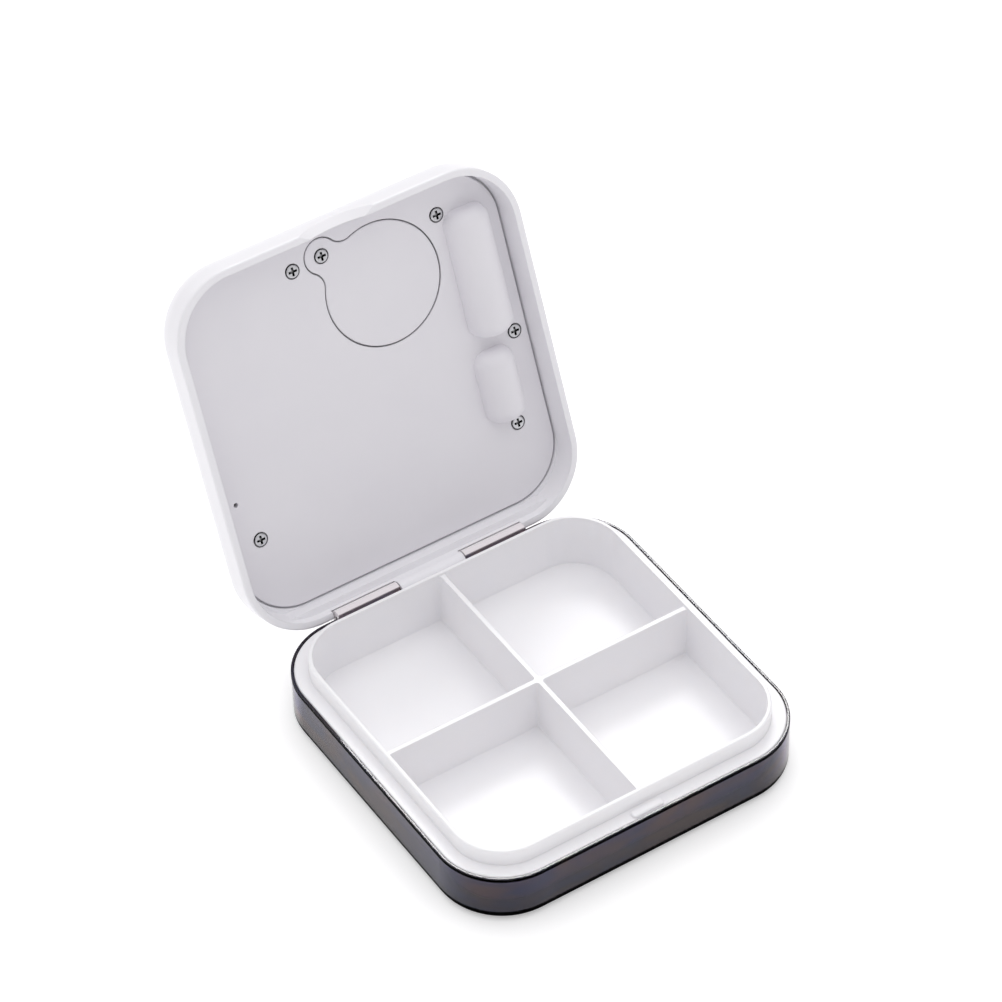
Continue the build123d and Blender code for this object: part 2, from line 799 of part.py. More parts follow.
with BuildPart() as display_window:
    with BuildSketch(lid_level(lid_height - window_recess)):
        with Locations((display_x, display_y)):
            RectangleRounded(
                window_opening_width + 2 * (window_margin - window_gap),
                window_opening_depth + 2 * (window_margin - window_gap),
                window_corner_radius + window_margin / 2 - window_gap,
            )
    extrude(amount=window_thickness)
display_window.part.label = "display_window"
export_step(display_window.part, "parts/display_window.step")


# Control chip under its blob of resin
with BuildPart() as control_chip:
    with BuildSketch(lid_level(board_top)):
        with Locations((chip_x, chip_y)):
            Circle(chip_radius)
    extrude(amount=chip_height)
    chip_top = control_chip.faces().sort_by(Axis(lid_origin, lid_plane.z_dir))[-1]
    fillet(chip_top.edges(), chip_edge_radius)
control_chip.part.label = "control_chip"
export_step(control_chip.part, "parts/control_chip.step")


# Switches on the board, with pockets for the plungers
flange_top_level = face_level - button_flange_gap
flange_bottom_level = flange_top_level - button_flange_height
switch_top = board_top + switch_height
plunger_bottom = switch_top - plunger_insertion
plunger_pocket_depth = plunger_insertion + 2 * button_travel

with BuildPart() as tact_switches:
    with BuildSketch(lid_level(board_top)):
        with Locations((0, button_y)):
            with GridLocations(button_spacing, button_spacing, len(button_names), 1):
                Rectangle(switch_size, switch_size)
    extrude(amount=switch_height)
    with BuildSketch(lid_level(switch_top)):
        with Locations((0, button_y)):
            with GridLocations(button_spacing, button_spacing, len(button_names), 1):
                Circle(plunger_radius + plunger_clearance)
    extrude(amount=-plunger_pocket_depth, mode=Mode.SUBTRACT)
tact_switches.part.label = "tact_switches"
export_step(tact_switches.part, "parts/tact_switches.step")


# Buttons and plungers
for index, button_name in enumerate(button_names):
    button_x = (index - (len(button_names) - 1) / 2) * button_spacing
    with BuildPart() as button:
        with BuildSketch(lid_level(flange_bottom_level)):
            with Locations((button_x, button_y)):
                Circle(button_radius)
        extrude(amount=lid_height + button_proud - flange_bottom_level)
        button_top = button.faces().sort_by(Axis(lid_origin, lid_plane.z_dir))[-1]
        fillet(button_top.edges(), button_edge_radius)
        with BuildSketch(lid_level(flange_bottom_level)):
            with Locations((button_x, button_y)):
                Circle(button_flange_radius)
        extrude(amount=button_flange_height)
    button.part.label = f"{button_name}_button"
    export_step(button.part, f"parts/{button_name}_button.step")
    with BuildPart() as plunger:
        with BuildSketch(lid_level(plunger_bottom)):
            with Locations((button_x, button_y)):
                Circle(plunger_radius)
        extrude(amount=flange_bottom_level - plunger_bottom)
    plunger.part.label = f"{button_name}_plunger"
    export_step(plunger.part, f"parts/{button_name}_plunger.step")


# Buzzer behind the sound hole, with its port
with BuildPart() as buzzer:
    with BuildSketch(lid_level(cover_top)):
        with Locations((buzzer_x, buzzer_y)):
            Circle(buzzer_radius)
    extrude(amount=buzzer_height)
    with BuildSketch(lid_level(cover_top)):
        with Locations((sound_hole_x, sound_hole_y)):
            Circle(sound_hole_radius)
    extrude(amount=buzzer_port_depth, mode=Mode.SUBTRACT)
buzzer.part.label = "buzzer"
export_step(buzzer.part, "parts/buzzer.step")


# Vibration motor with its pad, shaft and eccentric weight
motor_back = long_housing_end - long_housing_wall - motor_end_gap
motor_front = motor_back - motor_length
shaft_start = motor_front + motor_bore_depth - shaft_end_gap
weight_start = motor_front - weight_gap
shaft_end = weight_start - weight_length - shaft_end_gap
pad_start = motor_back - (motor_length - pad_length) / 2
pad_bottom = face_level - cover_level - pad_height

with BuildPart() as vibration_motor:
    with BuildSketch(lid_section(long_housing_x, motor_back, cover_level)):
        Circle(motor_radius)
    extrude(amount=motor_length)
    fillet(vibration_motor.edges().filter_by(GeomType.CIRCLE), motor_edge_radius)
    with BuildSketch(lid_section(long_housing_x, motor_front + motor_bore_depth, cover_level)):
        Circle(shaft_radius + shaft_running_clearance)
    extrude(amount=motor_bore_depth, mode=Mode.SUBTRACT)
vibration_motor.part.label = "vibration_motor"
export_step(vibration_motor.part, "parts/vibration_motor.step")

with BuildPart() as motor_pad:
    with BuildSketch(lid_section(long_housing_x, pad_start, cover_level)):
        with Locations((0, pad_bottom)):
            Rectangle(pad_width, pad_height, align=(Align.CENTER, Align.MIN))
        Circle(motor_radius, mode=Mode.SUBTRACT)
    extrude(amount=pad_length)
motor_pad.part.label = "motor_pad"
export_step(motor_pad.part, "parts/motor_pad.step")

with BuildPart() as motor_shaft:
    with BuildSketch(lid_section(long_housing_x, shaft_start, cover_level)):
        Circle(shaft_radius)
    extrude(amount=shaft_start - shaft_end)
motor_shaft.part.label = "motor_shaft"
export_step(motor_shaft.part, "parts/motor_shaft.step")

with BuildPart() as eccentric_weight:
    with BuildSketch(lid_section(long_housing_x, weight_start, cover_level)):
        Circle(weight_radius)
        with Locations((0, -weight_radius / 2)):
            Rectangle(2 * weight_radius, weight_radius, mode=Mode.SUBTRACT)
        Circle(shaft_radius + weight_bore_wall)
        Circle(shaft_radius, mode=Mode.SUBTRACT)
    extrude(amount=weight_length)
eccentric_weight.part.label = "eccentric_weight"
export_step(eccentric_weight.part, "parts/eccentric_weight.step")


# Motor leads: out of the motor's end, then across to the board
for lead_name, (lead_offset, lead_run) in lead_routes.items():
    lead_x = long_housing_x + lead_offset
    lead_turn = motor_back + lead_run
    with BuildPart() as motor_lead:
        with BuildLine(lid_level(board_top + lead_radius)):
            FilletPolyline(
                (lead_x, motor_back),
                (lead_x, lead_turn),
                (lead_landing_x, lead_turn),
                radius=lead_bend_radius,
            )
        lead_start = lid_point(lead_x, motor_back, board_top + lead_radius)
        with BuildSketch(Plane(origin=lead_start, x_dir=(1, 0, 0), z_dir=lid_along)):
            Circle(lead_radius)
        sweep()
    motor_lead.part.label = f"motor_lead_{lead_name}"
    export_step(motor_lead.part, f"parts/motor_lead_{lead_name}.step")


# Capacitor in the short housing
capacitor_middle = (short_housing_start + short_housing_end) / 2
with BuildPart() as capacitor:
    with BuildSketch(
        lid_section(short_housing_x, capacitor_middle + capacitor_length / 2, cover_level)
    ):
        Circle(capacitor_radius)
    extrude(amount=capacitor_length)
    fillet(capacitor.edges().filter_by(GeomType.CIRCLE), capacitor_edge_radius)
capacitor.part.label = "capacitor"
export_step(capacitor.part, "parts/capacitor.step")
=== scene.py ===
"""Looks of a medication reminder timer: a square pill box with the timer in its hinged lid."""

import logging
import math
from dataclasses import dataclass
from enum import Enum

import bmesh
import bpy
from mathutils import Matrix, Quaternion, Vector


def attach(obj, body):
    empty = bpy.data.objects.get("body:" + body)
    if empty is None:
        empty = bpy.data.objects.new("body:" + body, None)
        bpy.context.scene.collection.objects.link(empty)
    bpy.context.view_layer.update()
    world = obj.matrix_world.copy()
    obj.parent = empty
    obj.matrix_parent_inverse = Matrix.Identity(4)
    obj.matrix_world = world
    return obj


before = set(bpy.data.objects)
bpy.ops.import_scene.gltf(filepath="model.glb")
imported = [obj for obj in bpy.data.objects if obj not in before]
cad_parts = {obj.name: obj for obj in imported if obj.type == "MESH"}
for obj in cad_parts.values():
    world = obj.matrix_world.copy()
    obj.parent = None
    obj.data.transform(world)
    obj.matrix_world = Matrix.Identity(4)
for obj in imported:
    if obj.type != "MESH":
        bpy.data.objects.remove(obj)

MM = 0.001
LOG = logging.getLogger("reminder_timer")


def srgb(code: str) -> tuple[float, float, float, float]:
    """Turn an sRGB hex colour to linear.

    Args:
        code: Six hex digits.
    Returns:
        Linear red, green and blue, and an alpha of 1.
    """
    parts = [int(code[i : i + 2], 16) / 255 for i in (0, 2, 4)]
    linear = [c / 12.92 if c <= 0.04045 else ((c + 0.055) / 1.055) ** 2.4 for c in parts]
    return linear[0], linear[1], linear[2], 1.0


def per_mm(size_mm: float) -> float:
    """Noise scale whose features are about this many millimetres across."""
    return 1.0 / (size_mm * MM)


def add_node(
    tree: bpy.types.NodeTree, kind: str, inputs: dict | None = None, **settings
) -> bpy.types.Node:
    """Add one node with its settings and links.

    Args:
        tree: Node tree that takes the node.
        kind: Blender's name of the node's type.
        inputs: Socket names or numbers, each with a value or with the socket that feeds it.
        settings: Attributes of the node.
    Returns:
        The new node.
    """
    node = tree.nodes.new(kind)
    for key, value in settings.items():
        setattr(node, key, value)
    for key, value in (inputs or {}).items():
        if isinstance(value, bpy.types.NodeSocket):
            tree.links.new(value, node.inputs[key])
        else:
            node.inputs[key].default_value = value
    return node


def blank_material(name: str) -> tuple[bpy.types.Material, bpy.types.NodeTree]:
    """Start a node material.

    Args:
        name: Name of the finish.
    Returns:
        The material and its emptied node tree.
    """
    material = bpy.data.materials.new(name)
    material.use_nodes = True
    material.node_tree.nodes.clear()
    return material, material.node_tree


def paint_crevice_shade(
    tree: bpy.types.NodeTree,
    colour: bpy.types.NodeSocket,
    reach_mm: float,
    dark: str,
    open_from: float,
    open_to: float,
) -> bpy.types.NodeSocket:
    """Paint shade into a colour in narrow gaps and sunk corners, where little light reaches:
    painted shade.

    Args:
        tree: The material's nodes.
        colour: The colour of the open faces.
        reach_mm: How far faces shade one another.
        dark: Hex colour of the painted shade deep in a gap.
        open_from: Share of open sky below which the colour is all dark.
        open_to: Share of open sky above which nothing is darkened.
    Returns:
        Socket with the shaded colour.
    """
    # Painted shade: the less open sky a point sees, the nearer its colour goes to the dark one
    shut = add_node(tree, "ShaderNodeAmbientOcclusion", {"Distance": reach_mm * MM}, samples=8)
    open_face = add_node(
        tree, "ShaderNodeMapRange", {"Value": shut.outputs["AO"], 1: open_from, 2: open_to}
    )
    return add_node(
        tree,
        "ShaderNodeMix",
        {0: open_face.outputs[0], 6: srgb(dark), 7: colour},
        data_type="RGBA",
    ).outputs[2]


@dataclass(frozen=True)
class MouldedPlastic:
    """Injection-moulded opaque plastic, such as ABS or polypropylene.

    The steel mould's spark-eroded face leaves a fine grain, and slow cooling leaves long shallow
    waves that bend the reflections. Light enters a little way, so edges and thin walls glow. Real
    grain is under 0.1 mm across: it is drawn coarser here, because it would not show otherwise.
    """

    name: str
    light: str
    dark: str
    roughness: float
    roughness_spread: float = 0.04
    ior: float = 1.53
    cloud_mm: float = 14.0
    grain_mm: float = 0.35
    grain_depth_mm: float = 0.006
    wave_mm: float = 9.0
    wave_depth_mm: float = 0.02
    glow: float = 0.0
    glow_colour: tuple[float, float, float] = (0.9, 0.85, 0.8)
    glow_depth_mm: float = 1.2
    edge_mm: float = 0.0
    # Painted shade in gaps and sunk corners: its reach, its colour, and the open sky it fades over
    crevice_mm: float = 0.0
    painted_crevice_shade: str = "1c1c1e"
    crevice_open: tuple[float, float] = (0.12, 0.42)

    def make(self) -> bpy.types.Material:
        """Build the material.

        Returns:
            The finished material.
        """
        material, tree = blank_material(self.name)
        place = add_node(tree, "ShaderNodeTexCoord").outputs["Object"]
        cloud = add_node(
            tree,
            "ShaderNodeTexNoise",
            {"Vector": place, "Scale": per_mm(self.cloud_mm), "Detail": 3.0, "Roughness": 0.5},
        )
        tint = add_node(
            tree,
            "ShaderNodeMix",
            {0: cloud.outputs[0], 6: srgb(self.dark), 7: srgb(self.light)},
            data_type="RGBA",
        )
        grain = add_node(
            tree,
            "ShaderNodeTexNoise",
            {"Vector": place, "Scale": per_mm(self.grain_mm), "Detail": 2.0},
        )
        wave = add_node(
            tree,
            "ShaderNodeTexNoise",
            {"Vector": place, "Scale": per_mm(self.wave_mm), "Detail": 1.0},
        )
        gloss = add_node(
            tree,
            "ShaderNodeMapRange",
            {
                "Value": wave.outputs[0],
                3: self.roughness - self.roughness_spread,
                4: self.roughness + self.roughness_spread,
            },
        )
        normal_input = {}
        if self.edge_mm > 0:
            soft = add_node(tree, "ShaderNodeBevel", {"Radius": self.edge_mm * MM}, samples=6)
            normal_input = {"Normal": soft.outputs[0]}
        slow = add_node(
            tree,
            "ShaderNodeBump",
            {"Strength": 1.0, "Distance": self.wave_depth_mm * MM, "Height": wave.outputs[0]}
            | normal_input,
        )
        fine = add_node(
            tree,
            "ShaderNodeBump",
            {
                "Strength": 1.0,
                "Distance": self.grain_depth_mm * MM,
                "Height": grain.outputs[0],
                "Normal": slow.outputs[0],
            },
        )
        colour = tint.outputs[2]
        # Painted shade in narrow gaps and sunk corners
        if self.crevice_mm > 0:
            colour = paint_crevice_shade(
                tree, colour, self.crevice_mm, self.painted_crevice_shade, *self.crevice_open
            )
        shader = add_node(
            tree,
            "ShaderNodeBsdfPrincipled",
            {
                "Base Color": colour,
                "Roughness": gloss.outputs[0],
                "IOR": self.ior,
                "Subsurface Weight": self.glow,
                "Subsurface Radius": self.glow_colour,
                "Subsurface Scale": self.glow_depth_mm * MM,
                "Normal": fine.outputs[0],
            },
        )
        add_node(tree, "ShaderNodeOutputMaterial", {"Surface": shader.outputs[0]})
        return material


@dataclass(frozen=True)
class SmokedClear:
    """Smoke-tinted clear styrene, moulded with polished faces.

    The tint builds up through the wall, so the real edges go nearly black, and flow marks drawn
    along the walls give warm and cold streaks. The round knuckles are painted pale and opaque:
    painted light, for the light they gather all round. Lines at the foot and under the lip are
    painted black: painted shade, where the real wall shows its own depth. Real styrene has an index
    near 1.57: the lower one keeps the bright paper below from paling the walls.
    """

    name: str
    cold: str
    warm: str
    # Colour of the knuckles, painted pale: painted light
    pale: str
    # Colour of the lines at the foot and under the lip: painted shade
    deep: str
    clearness: float = 0.92
    roughness: float = 0.07
    ior: float = 1.4
    line_ior: float = 1.02
    patch_mm: float = 15.0
    patch_flattening: float = 2.6
    patch_twist: float = 0.6
    patch_range: tuple[float, float] = (0.38, 0.62)
    wave_mm: float = 7.0
    wave_depth_mm: float = 0.015
    # Where the knuckles are painted pale
    hinge_y_mm: float = 40.0
    hinge_z_mm: float = 11.8
    knuckle_radius_mm: float = 2.05
    knuckle_end_mm: float = 22.75
    knuckle_front_mm: float = 39.05
    # Heights of the painted-shade lines at the foot and under the lip
    foot_line_mm: float = 2.7
    lip_line_mm: tuple[float, float] = (11.25, 11.93)

    def painted_shade_lines(
        self, tree: bpy.types.NodeTree, height: bpy.types.NodeSocket
    ) -> bpy.types.NodeSocket:
        """Mark the lines of painted shade round the foot and just under the lip.

        Args:
            tree: The material's nodes.
            height: Height above the floor.
        Returns:
            Socket that is 1 on the lines and 0 elsewhere.
        """
        low, high = self.lip_line_mm
        foot, below, above = (
            add_node(
                tree, "ShaderNodeMapRange", {"Value": height, 1: outside_mm * MM, 2: inside_mm * MM}
            ).outputs[0]
            for outside_mm, inside_mm in (
                (self.foot_line_mm + 0.2, self.foot_line_mm - 0.2),
                (low - 0.1, low + 0.1),
                (high + 0.05, high - 0.05),
            )
        )
        line = add_node(tree, "ShaderNodeMath", {0: below, 1: above}, operation="MULTIPLY")
        both = add_node(tree, "ShaderNodeMath", {0: foot, 1: line.outputs[0]}, operation="MAXIMUM")
        return both.outputs[0]

    def painted_light_knuckles(
        self, tree: bpy.types.NodeTree, place: bpy.types.NodeSocket
    ) -> bpy.types.NodeSocket:
        """Mark the knuckles, painted pale as painted light, by their distance from the hinge's
        axis.

        Args:
            tree: The material's nodes.
            place: Object coordinates.
        Returns:
            Socket that is 1 on the knuckles and 0 elsewhere.
        """
        axis = (0.0, self.hinge_y_mm * MM, self.hinge_z_mm * MM)
        arm = add_node(tree, "ShaderNodeVectorMath", {0: place, 1: axis}, operation="SUBTRACT")
        across = add_node(
            tree, "ShaderNodeVectorMath", {0: arm.outputs[0], 1: (0.0, 1.0, 1.0)},
            operation="MULTIPLY",
        )
        radius = add_node(
            tree, "ShaderNodeVectorMath", {0: across.outputs[0]}, operation="LENGTH"
        )
        axes = add_node(tree, "ShaderNodeSeparateXYZ", {0: place})
        side = add_node(tree, "ShaderNodeMath", {0: axes.outputs[0]}, operation="ABSOLUTE")
        zone = None
        for value, outside_mm, inside_mm in (
            (radius.outputs["Value"], self.knuckle_radius_mm, self.knuckle_radius_mm - 0.1),
            (side.outputs[0], self.knuckle_end_mm, self.knuckle_end_mm - 0.1),
            (axes.outputs[1], self.knuckle_front_mm, self.knuckle_front_mm + 0.3),
        ):
            part = add_node(
                tree, "ShaderNodeMapRange", {"Value": value, 1: outside_mm * MM, 2: inside_mm * MM}
            ).outputs[0]
            if zone is not None:
                part = add_node(tree, "ShaderNodeMath", {0: zone, 1: part}, operation="MULTIPLY")
                part = part.outputs[0]
            zone = part
        return zone

    def make(self) -> bpy.types.Material:
        """Build the material.

        Returns:
            The finished material.
        """
        material, tree = blank_material(self.name)
        place = add_node(tree, "ShaderNodeTexCoord").outputs["Object"]
        drawn = add_node(
            tree, "ShaderNodeMapping", {"Vector": place, "Scale": (1.0, 1.0, self.patch_flattening)}
        )
        patch = add_node(
            tree,
            "ShaderNodeTexNoise",
            {
                "Vector": drawn.outputs[0],
                "Scale": per_mm(self.patch_mm),
                "Detail": 2.0,
                "Distortion": self.patch_twist,
            },
        )
        low, high = self.patch_range
        spread = add_node(tree, "ShaderNodeMapRange", {"Value": patch.outputs[0], 1: low, 2: high})
        smoke = add_node(
            tree,
            "ShaderNodeMix",
            {0: spread.outputs[0], 6: srgb(self.cold), 7: srgb(self.warm)},
            data_type="RGBA",
        )
        axes = add_node(tree, "ShaderNodeSeparateXYZ", {0: place})
        painted_shade_lines = self.painted_shade_lines(tree, axes.outputs[2])
        # Painted shade: near-black lines at the foot and just under the lip
        edged = add_node(
            tree,
            "ShaderNodeMix",
            {0: painted_shade_lines, 6: smoke.outputs[2], 7: srgb(self.deep)},
            data_type="RGBA",
        )
        # The lines hardly mirror the room, so the index nears that of air there
        shine = add_node(
            tree, "ShaderNodeMapRange", {"Value": painted_shade_lines, 3: self.ior, 4: self.line_ior}
        )
        painted_light_knuckles = self.painted_light_knuckles(tree, place)
        # Painted light: the knuckles take a pale colour and lose their see-through
        tint = add_node(
            tree,
            "ShaderNodeMix",
            {0: painted_light_knuckles, 6: edged.outputs[2], 7: srgb(self.pale)},
            data_type="RGBA",
        )
        clearness = add_node(
            tree, "ShaderNodeMapRange", {"Value": painted_light_knuckles, 3: self.clearness, 4: 0.0}
        )
        wave = add_node(
            tree,
            "ShaderNodeTexNoise",
            {"Vector": place, "Scale": per_mm(self.wave_mm), "Detail": 1.0},
        )
        bump = add_node(
            tree,
            "ShaderNodeBump",
            {"Strength": 1.0, "Distance": self.wave_depth_mm * MM, "Height": wave.outputs[0]},
        )
        shader = add_node(
            tree,
            "ShaderNodeBsdfPrincipled",
            {
                "Base Color": tint.outputs[2],
                "Roughness": self.roughness,
                "IOR": shine.outputs[0],
                "Transmission Weight": clearness.outputs[0],
                "Normal": bump.outputs[0],
            },
        )
        add_node(tree, "ShaderNodeOutputMaterial", {"Surface": shader.outputs[0]})
        return material


@dataclass(frozen=True)
class WorkedMetal:
    """Bare or plated metal with the fine scratches of its making, which blur its reflections."""

    name: str
    light: str
    dark: str
    roughness: float
    scratch_mm: float = 0.12
    stretch: tuple[float, float, float] = (1.0, 1.0, 1.0)
    depth_mm: float = 0.004
    roughness_range: tuple[float, float] = (-0.06, 0.08)
    # Painted shade in gaps and sunk corners: its reach, its colour, and the open sky it fades over
    crevice_mm: float = 0.0
    painted_crevice_shade: str = "060607"
    crevice_open: tuple[float, float] = (0.62, 0.98)

    def make(self) -> bpy.types.Material:
        """Build the material.

        Returns:
            The finished material.
        """
        material, tree = blank_material(self.name)
        place = add_node(tree, "ShaderNodeTexCoord").outputs["Object"]
        along = add_node(tree, "ShaderNodeMapping", {"Vector": place, "Scale": self.stretch})
        scratch = add_node(
            tree,
            "ShaderNodeTexNoise",
            {"Vector": along.outputs[0], "Scale": per_mm(self.scratch_mm), "Detail": 3.0},
        )
        tint = add_node(
            tree,
            "ShaderNodeMix",
            {0: scratch.outputs[0], 6: srgb(self.dark), 7: srgb(self.light)},
            data_type="RGBA",
        )
        less, more = self.roughness_range
        gloss = add_node(
            tree,
            "ShaderNodeMapRange",
            {"Value": scratch.outputs[0], 3: self.roughness + less, 4: self.roughness + more},
        )
        bump = add_node(
            tree,
            "ShaderNodeBump",
            {"Strength": 1.0, "Distance": self.depth_mm * MM, "Height": scratch.outputs[0]},
        )
        colour = tint.outputs[2]
        # Painted shade in the cross recess and round the head
        if self.crevice_mm > 0:
            colour = paint_crevice_shade(
                tree, colour, self.crevice_mm, self.painted_crevice_shade, *self.crevice_open
            )
        shader = add_node(
            tree,
            "ShaderNodeBsdfPrincipled",
            {
                "Base Color": colour,
                "Metallic": 1.0,
                "Roughness": gloss.outputs[0],
                "Normal": bump.outputs[0],
            },
        )
        add_node(tree, "ShaderNodeOutputMaterial", {"Surface": shader.outputs[0]})
        return material


@dataclass(frozen=True)
class ClearPane:
    """Clear acrylic pane, polished, with a trace of cool tint and faint waves in its mirror."""

    name: str
    tint: str
    roughness: float = 0.03
    ior: float = 1.49
    wave_mm: float = 11.0
    wave_depth_mm: float = 0.004

    def make(self) -> bpy.types.Material:
        """Build the material.

        Returns:
            The finished material.
        """
        material, tree = blank_material(self.name)
        place = add_node(tree, "ShaderNodeTexCoord").outputs["Object"]
        wave = add_node(
            tree,
            "ShaderNodeTexNoise",
            {"Vector": place, "Scale": per_mm(self.wave_mm), "Detail": 1.0},
        )
        bump = add_node(
            tree,
            "ShaderNodeBump",
            {"Strength": 1.0, "Distance": self.wave_depth_mm * MM, "Height": wave.outputs[0]},
        )
        shader = add_node(
            tree,
            "ShaderNodeBsdfPrincipled",
            {
                "Base Color": srgb(self.tint),
                "Roughness": self.roughness,
                "IOR": self.ior,
                "Transmission Weight": 1.0,
                "Normal": bump.outputs[0],
            },
        )
        add_node(tree, "ShaderNodeOutputMaterial", {"Surface": shader.outputs[0]})
        return material


class Finish(Enum):
    """Every finish of the box, by what it is made of and how."""

    # Satin-moulded ABS: broad soft highlights on the white lid
    LID_ABS = MouldedPlastic(
        "white_abs_satin_moulded", "f4f3f6", "f0eff3", 0.36, glow=0.06, edge_mm=0.25
    )
    # ABS from a spark-eroded mould: flat and even, with painted shade in the gaps round the door
    # and the screws
    COVER_ABS = MouldedPlastic(
        "white_abs_fine_spark_moulded",
        "ebe9ed",
        "e6e4e9",
        0.5,
        grain_mm=0.28,
        grain_depth_mm=0.012,
        glow=0.04,
        edge_mm=0.15,
        crevice_mm=0.5,
    )
    # Moulded polypropylene: milky, so that light passes into the thin walls of the pockets
    TRAY_PP = MouldedPlastic(
        "white_polypropylene_moulded",
        "faf9fb",
        "f8f7fa",
        0.4,
        ior=1.49,
        wave_mm=12.0,
        grain_depth_mm=0.004,
        glow=0.3,
        edge_mm=0.25,
    )
    # Clear styrene, smoke-tinted: a dark see-through wall, with black lines of painted shade at the
    # foot and under the lip, and knuckles painted pale as painted light
    SMOKED_STYRENE = SmokedClear(
        "smoked_styrene_clear_moulded", "5c5a86", "866a6c", "f0eaec", "050506"
    )
    # Zinc-plated steel: bright heads, with painted shade blackening the cross and the gap round
    # each head
    SCREW_STEEL = WorkedMetal("zinc_plated_steel_screw", "e6e6e8", "b4b4b9", 0.32, crevice_mm=0.7)
    # Drawn steel: scratches along the hinge pins
    PIN_STEEL = WorkedMetal(
        "drawn_steel_pin", "a9a9ad", "85858a", 0.3, stretch=(0.05, 1.0, 1.0)
    )
    # Nickel-plated steel can, pressed: smooth and light grey
    CELL_STEEL = WorkedMetal("nickel_plated_cell_steel", "c9c9cc", "b0b0b4", 0.25)
    # Nickel-plated spring strip, rolled: a little warmer
    SPRING_STRIP = WorkedMetal("nickel_plated_spring_strip", "c6c2b6", "a9a599", 0.28)
    # Deep-drawn and plated steel: an even grey sheen
    MOTOR_CAN = WorkedMetal("drawn_motor_can", "bdbdc2", "9d9da3", 0.3)
    # Sintered tungsten: dark and dull
    SINTERED = WorkedMetal("sintered_tungsten_weight", "6d6b68", "4d4b49", 0.5, scratch_mm=0.3)
    # Glass laminate under solder mask: glossy green
    BOARD = MouldedPlastic("solder_masked_laminate", "1d5b34", "174a2b", 0.35)
    # Poured epoxy: shiny black
    RESIN = MouldedPlastic("black_epoxy_blob", "121212", "0b0b0b", 0.22, ior=1.55)
    # Heat-shrunk PVC: dark blue, half shiny
    SLEEVE = MouldedPlastic("shrunk_pvc_sleeve", "1d2338", "161a2b", 0.4)
    # Uncoloured moulded ABS: creamy white
    FRAME_ABS = MouldedPlastic("natural_abs_frame", "e9e9e6", "dededb", 0.5)
    # Layered rubber: dull dark grey
    ZEBRA_RUBBER = MouldedPlastic("conductive_rubber_strip", "4b4b4e", "2e2e30", 0.7)
    # Float glass over a reflector: grey-green, with sharp reflections
    LCD_GLASS = MouldedPlastic(
        "liquid_crystal_glass", "a9b0a2", "9ea598", 0.16, ior=1.52, grain_depth_mm=0.0015
    )
    # Switched-on crystal: nearly black bars
    LCD_INK = MouldedPlastic("liquid_crystal_segments", "20262a", "181d20", 0.3)
    # Polished acrylic: clear, with sharp reflections
    PANE = ClearPane("clear_acrylic_pane", "f4f8f8")
    # Grey moulded ABS: satin, with a soft light edge
    BUTTON_ABS = MouldedPlastic("grey_abs_button", "8d9099", "82858e", 0.42, edge_mm=0.2)
    # Thick printed ink: matte white dots
    BUTTON_MARK = MouldedPlastic("white_pad_printed_ink", "f2f2f2", "e6e6e6", 0.5)
    # Moulded engineering plastics: plain, half matte
    SWITCH_NYLON = MouldedPlastic("black_nylon_switch", "1c1c1d", "141415", 0.55)
    PLUNGER_POM = MouldedPlastic("white_acetal_plunger", "dcdcda", "cfcfcd", 0.45)
    BUZZER_PBT = MouldedPlastic("black_pbt_buzzer", "161617", "0f0f10", 0.5)
    # Foamed rubber: open cells, no shine
    FOAM = MouldedPlastic(
        "foam_rubber_pad", "303032", "1f1f21", 0.85, grain_mm=0.5, grain_depth_mm=0.12
    )
    # Extruded PVC insulation: smooth and half shiny
    LEAD_RED = MouldedPlastic("red_pvc_insulation", "b01818", "981212", 0.45)
    LEAD_BLACK = MouldedPlastic("black_pvc_insulation", "18181a", "0f0f11", 0.45)


MADE: dict[Finish, bpy.types.Material] = {}


def finish_material(finish: Finish) -> bpy.types.Material:
    """Give the material of a finish, built on its first use.

    Args:
        finish: The finish wanted.
    Returns:
        Its material.
    """
    if finish not in MADE:
        MADE[finish] = finish.value.make()
    return MADE[finish]


def dress(node: str, finish: Finish) -> None:
    """Give a CAD node its finish.

    Args:
        node: Name of the CAD node.
        finish: The finish it takes.
    """
    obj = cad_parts[node]
    obj.data.materials.clear()
    obj.data.materials.append(finish_material(finish))
    LOG.info("%s: %s", node, finish.value.name)


def add_piece(
    name: str, shape: bmesh.types.BMesh, finish: Finish, body: str
) -> bpy.types.Object:
    """Make a finished piece from a bmesh and let it ride.

    Args:
        name: Name of the new piece.
        shape: Mesh in the row frame, in metres. It is freed here.
        finish: The finish the piece takes.
        body: CAD body that the piece moves with.
    Returns:
        The new object.
    """
    bmesh.ops.recalc_face_normals(shape, faces=shape.faces)
    mesh = bpy.data.meshes.new(name)
    shape.to_mesh(mesh)
    shape.free()
    mesh.materials.append(finish_material(finish))
    piece = bpy.data.objects.new(name, mesh)
    bpy.context.scene.collection.objects.link(piece)
    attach(piece, body)
    LOG.info("%s: %s, rides on %s", name, finish.value.name, body)
    return piece


@dataclass(frozen=True)
class LidFrame:
    """Place of the opened lid: X along the hinge, Y towards it, Z to the outer face."""

    open_deg: float = 112.0
    hinge_y_mm: float = 40.0
    hinge_z_mm: float = 11.8
    rim_above_axis_mm: float = 0.45

    def matrix(self) -> Matrix:
        """Turn lid millimetres into the row frame's metres.

        Returns:
            The 4 by 4 transform.
        """
        turn = math.radians(self.open_deg)
        c, s = math.cos(turn), math.sin(turn)
        up, side = self.rim_above_axis_mm, self.hinge_y_mm
        return Matrix(
            (
                (MM, 0.0, 0.0, 0.0),
                (0.0, c * MM, s * MM, (self.hinge_y_mm - side * c + up * s) * MM),
                (0.0, -s * MM, c * MM, (self.hinge_z_mm + side * s + up * c) * MM),
                (0.0, 0.0, 0.0, 1.0),
            )
        )


LID = LidFrame()


